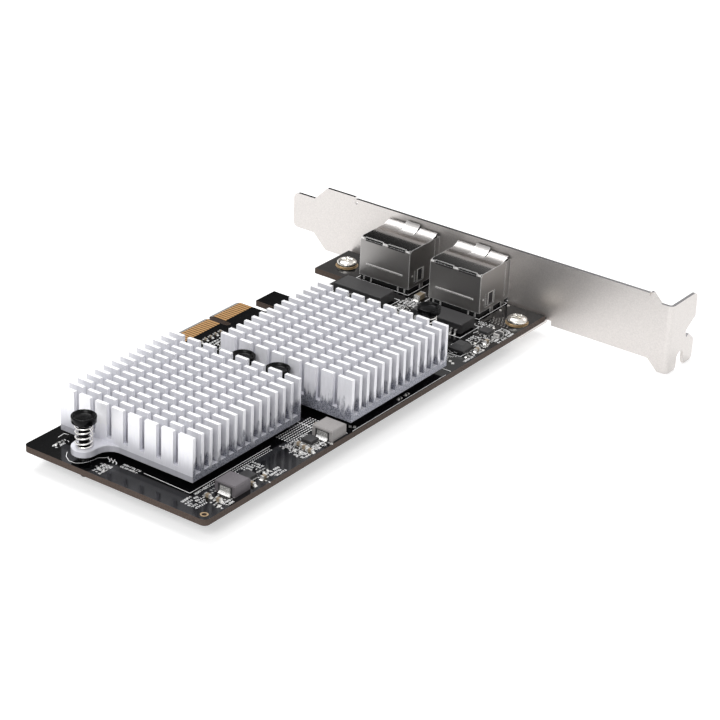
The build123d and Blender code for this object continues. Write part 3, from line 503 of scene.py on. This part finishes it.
def spring_path():
    """Open helix: x = r cos a, y = r sin a, and z rises evenly with a but at half the rate over the first and
    last seventh, where the coil is nearly closed."""
    coil_radius, coils, end_gap = 1.95, 4.4, 0.24
    t = np.linspace(0, 1, 170)
    ease = np.interp(t, (0, 0.14, 0.86, 1), (0.0, 0.07, 0.93, 1.0))
    angle = 2 * np.pi * coils * t
    z = SINK_FLOOR + end_gap + ease * (PIN_HEAD_UNDER - SINK_FLOOR - 2 * end_gap)
    return np.column_stack([coil_radius * np.cos(angle), coil_radius * np.sin(angle), z])


SPRING_WIRE_RADIUS = 0.235
for side, places in PIN_PLACES.items():
    pins = joined([turned(pin_profile(), place, 56) for place in places])
    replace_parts(piece(f"push_pin_bodies_{side}", pins, "pin_nylon", smooth=True), f"push_pins_{side}")
    coils = joined([tube(spring_path() + (*place, 0), SPRING_WIRE_RADIUS, 10) for place in places])
    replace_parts(piece(f"coil_springs_{side}", coils, "spring_steel", smooth=True), f"pin_springs_{side}")


def screw_head(centre, turn, rings=26, steps=96):
    """Domed pan head with a cross recess, over (r, t): height = 0.75 + 1.1 sqrt(1 - (0.97 r)^2.6), less the
    recess depth where the smaller of |u| and |v| is within the arm and the larger within its reach."""
    radius, shank_radius, shank_end, rest = 2.7, 1.45, -3.1, 0.04
    arm_half, arm_slope, arm_reach, end_slope, recess_depth = 0.42, 0.14, 1.55, 0.3, 1.05
    r = np.linspace(0.02, 1, rings)[:, None]
    t = np.linspace(0, 2 * np.pi, steps, endpoint=False)[None, :]
    x, y = r * radius * np.cos(t), r * radius * np.sin(t)
    u, v = x * math.cos(turn) + y * math.sin(turn), -x * math.sin(turn) + y * math.cos(turn)
    arm = np.minimum(np.abs(u), np.abs(v))
    reach = np.maximum(np.abs(u), np.abs(v))
    recess = np.clip((arm_half - arm) / arm_slope, 0, 1) * np.clip((arm_reach - reach) / end_slope, 0, 1)
    dome = 0.75 + 1.1 * np.sqrt(np.clip(1 - (r * 0.97) ** 2.6, 0, 1)) + 0 * t
    z = rest + dome - recess_depth * recess
    top = np.stack([x, y, z], -1)[::-1]
    skirt = np.stack([x[-1], y[-1], rest + 0 * x[-1]], -1)[None]
    shank = [np.stack([shank_radius * np.cos(t[0]), shank_radius * np.sin(t[0]), 0 * t[0] + h], -1)[None]
             for h in (shank_end, rest)]
    rows = np.concatenate([*shank, skirt, top]) + (*centre, 0)
    return rows.reshape(-1, 3), closed_rings(len(rows), steps)


heads = joined([screw_head(place, turn) for place, turn in SCREWS])
screws = piece("pan_head_screws", heads, "screw_nickel", smooth=True)
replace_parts(screws, "bracket_screws")

# Silkscreen, pads and solder. A bar is (x, y, length, width, turn in degrees)

BAR_LOW, PAD_HIGH, SILK_HIGH = -0.03, 0.03, 0.025
SILK_LINE = 0.15
TEXT_PITCH, TEXT_ROW, TEXT_STROKE = 0.66, 1.02, 0.14
WORD_GAPS, TWO_STROKED = 0.2, 0.5
MARK_JITTER, MARKS_TURNED = 0.35, 0.45


def flat_bars(bars, high, low=BAR_LOW):
    """Bars as thin boxes on the board, each centred on its x, y and turned about Z."""
    bars = np.asarray(bars, float)
    centres = np.column_stack([bars[:, 0], bars[:, 1], np.full(len(bars), (low + high) / 2)])
    sizes = np.column_stack([bars[:, 2], bars[:, 3], np.full(len(bars), high - low)])
    return slabs(centres, sizes, np.radians(bars[:, 4]))


def outline_bars(x0, y0, x1, y1, width=SILK_LINE):
    """Four bars round a rectangle."""
    cx, cy = (x0 + x1) / 2, (y0 + y1) / 2
    return [(cx, y0, x1 - x0 + width, width, 0), (cx, y1, x1 - x0 + width, width, 0),
            (x0, cy, y1 - y0 - width, width, 90), (x1, cy, y1 - y0 - width, width, 90)]


def line_bars(*points):
    """Lines that join the points in turn: each bar's centre is the middle of its two ends, its length their
    distance and its turn the direction from one to the other."""
    return [((xa + xb) / 2, (ya + yb) / 2, math.hypot(xb - xa, yb - ya), SILK_LINE,
             math.degrees(math.atan2(yb - ya, xb - xa))) for (xa, ya), (xb, yb) in zip(points, points[1:])]


def arc_bars(cx, cy, r, start, stop, width=SILK_LINE, steps=14):
    """Arc as short straight bars, its angles in degrees: each lies at r (cos m, sin m) for its middle angle m,
    turned m + 90, as long as its chord 2 r sin(step / 2) and 0.02 mm more."""
    a = np.radians(np.linspace(start, stop, steps + 1))
    middle = (a[1:] + a[:-1]) / 2
    long = abs(2 * r * math.sin((a[1] - a[0]) / 2) + 0.02)
    return [(cx + r * math.cos(m), cy + r * math.sin(m), long, width, math.degrees(m) + 90) for m in middle]


def dash_rows(x0, x1, ys, long, gap, width):
    """Rows of dashes along X, one row at each Y."""
    return [(x, y, long, width, 0.0) for y in ys for x in np.arange(x0, x1, long + gap)]


def text_rows(x0, y0, x1, y1, turn, seed):
    """Rows of made-up characters in a box: each is one or two upright bars and a cross bar, with gaps between
    words. Turn 0 sets the rows along X, 90 along Y."""
    upright, cross, half_width, lift_step = (0.64, TEXT_STROKE), (0.42, TEXT_STROKE), 0.18, 0.28
    rng = np.random.default_rng(seed)
    long, high = (x1 - x0, y1 - y0) if turn == 0 else (y1 - y0, x1 - x0)
    across, up = np.meshgrid(np.arange(TEXT_PITCH / 2, long, TEXT_PITCH), np.arange(TEXT_ROW / 2, high, TEXT_ROW))
    spots = np.column_stack([across.ravel(), up.ravel()])
    spots = spots[rng.random(len(spots)) > WORD_GAPS]
    n = len(spots)
    second = spots[rng.random(n) < TWO_STROKED]
    lift = rng.choice((-lift_step, 0.0, lift_step), n)
    strokes = ((spots, -half_width, 0, upright, 90.0), (second, half_width, 0, upright, 90.0),
               (spots, 0, lift, cross, 0.0))
    rows = np.concatenate([
        np.column_stack([at[:, 0] + shift, at[:, 1] + raised, np.full((len(at), 2), size), np.full(len(at), angle)])
        for at, shift, raised, size, angle in strokes])
    if turn == 0:
        placed = np.column_stack([x0 + rows[:, 0], y0 + rows[:, 1], rows[:, 2:]])
    else:
        placed = np.column_stack([x0 + rows[:, 1], y0 + rows[:, 0], rows[:, 2:4], 90.0 - rows[:, 4]])
    return [tuple(row) for row in placed]


def clutter(x0, y0, x1, y1, pitch, seed, share):
    """Short bars in a jittered grid, for a busy patch of the board: grid place + (random - half) * pitch * jitter,
    with a random length and width, some of them turned by 90 degrees."""
    rng = np.random.default_rng(seed)
    across, up = np.meshgrid(np.arange(x0, x1, pitch), np.arange(y0, y1, pitch * 0.8))
    spots = np.column_stack([across.ravel(), up.ravel()])
    spots = spots[rng.random(len(spots)) < share]
    n = len(spots)
    spots = spots + (rng.random((n, 2)) - 0.5) * pitch * MARK_JITTER
    long = pitch * (0.35 + 0.5 * rng.random(n))
    wide = 0.1 + 0.1 * rng.random(n)
    turns = 90.0 * (rng.random(n) < MARKS_TURNED)
    return [tuple(row) for row in np.column_stack([spots, long, wide, turns])]


# Text as (x0, y0, x1, y1, turn)
TEXT_BOXES = (
    (131.5, 16.9, 136.0, 19.1, 0), (134.3, 31.8, 138.8, 34.4, 0), (131.4, 35.6, 133.8, 41.2, 90),
    (132.4, 57.6, 136.9, 61.6, 0), (128.8, 64.0, 133.7, 65.9, 0), (109.8, 63.0, 114.4, 66.0, 0),
    (111.4, 57.4, 116.2, 60.8, 90), (100.2, 60.4, 103.6, 65.8, 90), (92.8, 63.6, 98.4, 65.8, 0),
    (14.4, 55.0, 17.0, 60.6, 90), (15.2, 64.4, 22.6, 66.0, 0), (22.6, 58.7, 26.8, 60.9, 90),
    (28.4, 64.9, 37.0, 66.1, 0), (36.4, 58.6, 39.4, 61.8, 90), (15.2, 32.4, 19.4, 37.0, 0),
    (19.8, 32.8, 26.0, 35.4, 0), (126.8, 56.4, 136.6, 57.4, 0), (86.0, 64.6, 86.9, 66.0, 90),
    (62.0, 10.2, 80.4, 12.2, 0),
)
# Rows of dashes as (x0, x1, their Ys, dash, gap, width)
DASHES = (
    (86.0, 99.4, (54.3, 55.1, 55.9, 56.7, 57.5, 58.3), 0.45, 0.35, 0.3),
    (104.6, 128.4, (56.5, 57.2), 0.35, 0.35, 0.22),
    (118.4, 123.0, (57.6, 58.3), 0.5, 0.4, 0.2),
    (27.6, 34.6, (33.0, 33.8, 34.6, 40.2, 41.0), 0.5, 0.5, 0.2),
)
# Busy patches as (x0, y0, x1, y1, pitch, seed, share of the grid's places that hold a mark)
CLUTTERED = (
    (94.4, 58.8, 101.6, 64.4, 0.62, 8, 0.6), (20.4, 60.8, 28.2, 64.4, 0.64, 12, 0.5),
    (27.4, 58.6, 36.0, 62.4, 0.66, 21, 0.4), (14.6, 57.0, 19.0, 64.6, 0.7, 22, 0.4),
    (28.6, 34.6, 37.0, 39.6, 0.66, 23, 0.45), (15.4, 33.0, 25.6, 39.0, 0.66, 24, 0.4),
    (46.0, 12.6, 88.0, 15.0, 0.7, 16, 0.5),
)


def silkscreen():
    """All white marks: frames and lines round the parts, arcs by the heatsinks' ears, text, dashes and clutter."""
    silk = []
    for frame_box in ((17.9, 15.1, 26.5, 32.0), (17.5, 40.2, 26.4, 57.0), (0.9, 14.9, 14.0, 31.9),
                      (0.9, 37.4, 14.0, 54.5), (117.0, 59.2, 119.6, 62.8, 0.12)):
        silk += outline_bars(*frame_box)
    silk += line_bars((132.0, 41.9), (132.4, 55.8), (103.1, 55.8)) + line_bars((89.6, 57.4), (89.6, 47.0))
    silk += line_bars((84.9, 66.1), (46.0, 66.1)) + line_bars((43.6, 66.0), (43.6, 58.0))
    silk += line_bars((135.7, 21.8), (137.4, 23.0), (138.6, 24.9), (138.5, 26.8), (137.5, 28.0), (136.0, 28.7),
                      (133.2, 29.2), (131.9, 30.6))
    silk += line_bars((131.8, 15.4), (129.6, 15.2), (129.2, 16.4))
    silk += arc_bars(35.9, 53.3, 3.9, 100, 260) + line_bars((35.2, 57.1), (43.6, 58.6))
    silk += line_bars((35.4, 59.7), (35.2, 63.1), (32.3, 63.3)) + line_bars((28.6, 57.6), (31.0, 57.4))
    silk += line_bars((21.7, 57.9), (20.6, 58.2), (17.2, 58.2), (17.2, 61.8), (14.6, 62.2), (14.8, 64.6))
    for step in (0.0, 1.0, 2.0):
        silk += arc_bars(133.2, 31.2 + step, 1.1, 100, 175, 0.24, 5)
        silk += arc_bars(131.0, 31.6 + step, 1.1, -70, 5, 0.24, 5)
    for seed, box in enumerate(TEXT_BOXES, 200):
        silk += text_rows(*box, seed)
    for row in DASHES:
        silk += dash_rows(*row)
    for patch in CLUTTERED:
        silk += clutter(*patch)
    return flat_bars(silk, SILK_HIGH)


piece("silkscreen_marks", silkscreen(), "package_black", silk_white)

# Chip parts as (x, y, whether the long side lies along Y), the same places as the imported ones
LARGE_PARTS = ((131.0, 59.9, 1), (130.9, 62.9, 1), (116.2, 64.2, 0), (98.5, 60.6, 1), (99.0, 62.6, 1),
               (99.4, 64.6, 1), (88.4, 58.0, 0), (120.4, 64.1, 1), (24.2, 63.7, 0), (29.6, 64.4, 0))
SMALL_PARTS = ((136.6, 33.0, 0), (136.6, 34.2, 0), (133.2, 17.6, 0), (134.4, 17.6, 0), (101.4, 60.9, 1),
               (101.4, 62.6, 1), (61.0, 64.9, 0), (64.0, 64.9, 0), (21.4, 60.6, 1), (16.0, 59.8, 1),
               (113.0, 62.2, 1), (114.4, 62.2, 1), (34.2, 64.5, 0), (26.6, 61.2, 1), (132.8, 64.0, 1),
               *((63.5 + 2 * i, 8.6, 1) for i in range(8)))
BIG_CAPACITOR = (13.4, 35.3, 0)
# Their length, width and height
LARGE_SIZE, SMALL_SIZE, BIG_SIZE = (1.6, 0.8, 0.8), (1.0, 0.5, 0.35), (3.2, 1.6, 1.3)


def solder_ramp(x, y, way, reach, height, width):
    """Solder up an end cap: a profile that falls as height * (1 - s)^2.2 over its reach, carried along the
    width and closed all round."""
    s = np.linspace(0, 1, 6)
    out = np.concatenate([s * reach, (reach, 0.0)])
    up = np.concatenate([height * (1 - s) ** 2.2 + 0.03, (0.0, 0.0)])
    c, d = math.cos(way), math.sin(way)
    rings = [np.column_stack([x + c * out - d * side, y + d * out + c * side, up])
             for side in (-width / 2, width / 2)]
    return np.concatenate(rings), closed_rings(2, len(out))


def end_solder():
    """Pad and solder at both ends of every chip part, each at half its length from its middle."""
    parts, pads = [], []
    chips = [(place, LARGE_SIZE) for place in LARGE_PARTS] + [(BIG_CAPACITOR, BIG_SIZE)]
    chips += [(place, SMALL_SIZE) for place in SMALL_PARTS]
    for (x, y, upright), (length, width, height) in chips:
        reach = 0.28 + 0.15 * height
        for side in (0, 1):
            way = math.pi * side + math.pi / 2 * upright
            ex, ey = x + math.cos(way) * length / 2, y + math.sin(way) * length / 2
            parts.append(solder_ramp(ex, ey, way, reach, 0.62 * height, width * 0.94))
            pads.append((ex + math.cos(way) * reach * 0.4, ey + math.sin(way) * reach * 0.4, reach * 1.9,
                         width + 0.14, math.degrees(way)))
    parts.append(flat_bars(pads, PAD_HIGH))
    return joined(parts)


piece("end_solder", end_solder(), "tinned_terminal")

# Pads of parts left off as (x, y, side), and patches of loose pads as (x0, y0, x1, y1, count)
BARE_PLACES = ((118.3, 61.0, 3.2), (95.3, 61.4, 3.0), (19.2, 60.2, 3.0))
PAD_PATCHES = ((93.6, 57.6, 103.0, 65.6, 30), (112.6, 61.0, 117.0, 65.8, 8), (127.6, 57.6, 133.0, 64.6, 12),
               (17.0, 61.6, 34.0, 65.4, 24), (16.0, 33.0, 26.0, 39.4, 14), (134.6, 31.8, 138.4, 34.2, 5),
               (46.0, 12.2, 90.0, 15.0, 24))
TEST_POINTS = ((23.9, 63.3), (29.8, 62.9), (27.5, 63.1), (28.4, 65.4), (18.4, 63.0), (39.0, 62.6), (39.6, 63.8),
               (83.3, 64.2), (82.8, 65.2), (93.0, 66.0), (1.8, 55.6), (5.6, 55.6))


def bare_pads():
    """Tinned pads of parts left off, pairs of loose pads, test points and the field of dots by the outer screw."""
    pitch, gap, long, wide = 0.8, 0.2, 0.5, 0.36
    pair_wide, pair_half, point, dot = 0.42, 0.5, (0.95, 0.7, 30.0), (0.26, 0.26, 45.0)
    rng = np.random.default_rng(77)
    rows = []
    for x, y, side in BARE_PLACES:
        for i in range(4):
            step = -1.2 + pitch * i
            rows += [(x + step, y - side / 2 - gap, wide, long, 0), (x + step, y + side / 2 + gap, wide, long, 0)]
            rows += [(x - side / 2 - gap, y + step, long, wide, 0), (x + side / 2 + gap, y + step, long, wide, 0)]
    for x0, y0, x1, y1, count in PAD_PATCHES:
        spots = np.column_stack([x0 + (x1 - x0) * rng.random(count), y0 + (y1 - y0) * rng.random(count)])
        for x, y in spots:
            turn = 90.0 * (rng.random() < 0.5)
            c, d = (0.0, pair_half) if turn else (pair_half, 0.0)
            rows += [(x - c, y - d, long, pair_wide, turn), (x + c, y + d, long, pair_wide, turn)]
    rows += [(x, y, *point) for x, y in TEST_POINTS]
    for i in range(6):
        rows += [(9.0 + 0.85 * i, 57.0 + 0.9 * j + 0.3 * (i % 2), *dot) for j in range(7) if i + j > 1]
    return flat_bars(rows, PAD_HIGH + 0.01)


piece("bare_pads", bare_pads(), "tinned_terminal")

# Fine marks on the inductors and the jacks' shields, painted shade and painted highlights among them, as boxes of
# (centre, size)


def clip_recess_shade():
    """Painted shade of a moulded recess round each inductor's clips: thin dark bars on the body's end faces."""
    end_face, upright, level = 2.752, (0.02, 0.5, 2.1), (0.02, 4.06, 0.22)
    rows = []
    for x, y in INDUCTORS:
        for end in (x - end_face, x + end_face):
            rows += [((end, y - 1.78, 1.05), upright), ((end, y + 1.78, 1.05), upright), ((end, y, 2.05), level)]
    return slabs(*zip(*rows))


def fold_highlights():
    """Painted highlights on the tabs between the perforations of each shield's upper back edge, and at the corners.
    """
    return slabs(*zip(*[((JACK_BACK, middle + shift, JACK_TOP - 0.32), (0.06, width, 0.5))
                        for middle in JACK_MIDDLES for shift, width in ((-7.35, 1.1), (0.0, 1.4), (7.35, 1.1))]))


def fold_gaps():
    """Dark bars for the lower half of each perforation and the latch windows in the shields' sides: partly the black
    housing seen through them and partly painted shade.
    """
    rows = []
    for middle in JACK_MIDDLES:
        rows += [((JACK_BACK, middle + shift, JACK_TOP - 0.72), (0.04, 5.5, 0.4)) for shift in (-3.65, 3.65)]
        rows += [((8.2, middle + side * JACK_HALF, 4.1), (1.9, 0.03, 3.0)) for side in (-1, 1)]
    return slabs(*zip(*rows))


def window_rim_highlights():
    """Painted highlights: a bright rim beside each latch window, and a glint on the small dimple behind it."""
    rows = []
    for middle in JACK_MIDDLES:
        for y in (middle - JACK_HALF, middle + JACK_HALF):
            rows += [((9.3, y, 4.1), (0.22, 0.05, 3.2)), ((7.1, y, 4.1), (0.14, 0.05, 3.2)),
                     ((8.2, y, 5.75), (2.3, 0.05, 0.16)), ((11.7, y, 4.6), (0.5, 0.06, 0.5))]
    return slabs(*zip(*rows))


def inductor_solder():
    """Bright solder at the feet of the inductors' clips."""
    end_face, reach, height, width = 2.75, 0.75, 0.5, 3.3
    return joined([solder_ramp(x + math.cos(way) * end_face, y, way, reach, height, width)
                   for x, y in INDUCTORS for way in (0.0, math.pi)])


# Painted shade: dark bars round the inductors' clips
piece("clip_recess_shade", clip_recess_shade(), "package_black")
# Dark bars in the shields' openings: black housing behind, and painted shade
piece("fold_gaps", fold_gaps(), "package_black")
# Painted highlights on the shields' folds, window rims and dimples, in a pale tin
bright_tin = finish("bright_tin", (0.95, 0.94, 0.92), 0.15, 0.3, 4000)
piece("fold_highlights", joined([fold_highlights(), window_rim_highlights()]), "tinned_terminal", bright_tin)
piece("inductor_solder", inductor_solder(), "tinned_terminal")

# Floor, light and camera

AMBIENT = 0.52
FLOOR_HALF, FLOOR_Z = 3.0, -0.0002
FOCAL_PIXELS, FRAME_PIXELS = 2496.2, 720


def pale_floor():
    """Pale floor, a little brighter to the camera and in reflections than as light."""
    mesh = bpy.data.meshes.new("floor")
    corners = [(x * FLOOR_HALF, y * FLOOR_HALF, FLOOR_Z) for x, y in ((-1, -1), (1, -1), (1, 1), (-1, 1))]
    mesh.from_pydata(corners, [], [(0, 1, 2, 3)])
    floor = bpy.data.objects.new("floor", mesh)
    bpy.context.scene.collection.objects.link(floor)
    paint = bpy.data.materials.new("floor_white")
    paint.use_nodes = True
    tree = paint.node_tree
    shader = tree.nodes["Principled BSDF"]
    shader.inputs["Base Color"].default_value = (0.66, 0.66, 0.66, 1)
    shader.inputs["Roughness"].default_value = 0.9
    shader.inputs["Emission Color"].default_value = (1, 1, 1, 1)
    ray = add(tree, "ShaderNodeLightPath").outputs
    seen = calc(tree, "ADD", ray["Is Camera Ray"], ray["Is Glossy Ray"], clamp=True)
    feed(tree, shader.inputs["Emission Strength"], calc(tree, "MULTIPLY", seen, 0.5))
    mesh.materials.append(paint)


def studio_world():
    """Plain white to the camera, a softer level as light, and a room with a tilted dark band to glossy rays."""
    world = bpy.data.worlds.new("studio")
    bpy.context.scene.world = world
    world.use_nodes = True
    tree = world.node_tree
    way = add(tree, "ShaderNodeNewGeometry").outputs["Position"]
    tilt = add(tree, "ShaderNodeVectorMath", operation="DOT_PRODUCT", in_0=way, in_1=(0.0, 0.573, 0.82))
    room = add(tree, "ShaderNodeValToRGB", in_0=mapped(tree, tilt.outputs["Value"], -0.5, 1.0))
    ramp = room.color_ramp
    for element, place in zip(ramp.elements, (0.19, 0.6)):
        element.position, element.color = place, (1, 1, 1, 1)
    for place, level in ((0.27, 0.03), (0.357, 0.01), (0.376, 0.16), (0.395, 0.75), (0.47, 0.9)):
        ramp.elements.new(place).color = (level, level, level * 1.1, 1)
    ray = add(tree, "ShaderNodeLightPath").outputs
    seen = calc(tree, "ADD", ray["Is Camera Ray"], ray["Is Transmission Ray"], clamp=True)
    level = calc(tree, "MAXIMUM", seen, between(tree, ray["Is Glossy Ray"], AMBIENT, room.outputs[0]))
    background = tree.nodes["Background"]
    background.inputs[0].default_value = (1, 1, 1, 1)
    feed(tree, background.inputs[1], level)


def area_lamp(name, place, size, power):
    """Rectangular soft lamp turned to the card."""
    data = bpy.data.lights.new(name, "AREA")
    data.shape = "RECTANGLE"
    data.size, data.size_y = size
    data.energy = power
    lamp = bpy.data.objects.new(name, data)
    lamp.location = place
    lamp.rotation_euler = (-Vector(place)).to_track_quat("-Z", "Y").to_euler()
    bpy.context.scene.collection.objects.link(lamp)


def camera():
    """Camera at the photograph's place: 2496 pixels of focal length on a 720 pixel frame."""
    data = bpy.data.cameras.new("camera")
    data.sensor_width = 36.0
    data.lens = FOCAL_PIXELS / FRAME_PIXELS * data.sensor_width
    data.clip_start, data.clip_end = 0.05, 20
    obj = bpy.data.objects.new("camera", data)
    obj.location = metres((509.576, 368.081, 277.244))
    right, down, look = ((-0.59226, 0.8049, 0.036921), (0.338438, 0.29009, -0.895158),
                         (-0.731223, -0.517671, -0.444218))
    obj.rotation_euler = Matrix([(r, -d, -f) for r, d, f in zip(right, down, look)]).to_euler()
    bpy.context.scene.collection.objects.link(obj)
    bpy.context.scene.camera = obj


pale_floor()
studio_world()
area_lamp("key", (-0.12, -0.36, 0.76), (0.45, 0.45), 4.4)
area_lamp("side", (0.6, 0.16, 0.52), (0.4, 0.3), 2.8)
camera()
bpy.context.scene.view_settings.view_transform = "Standard"
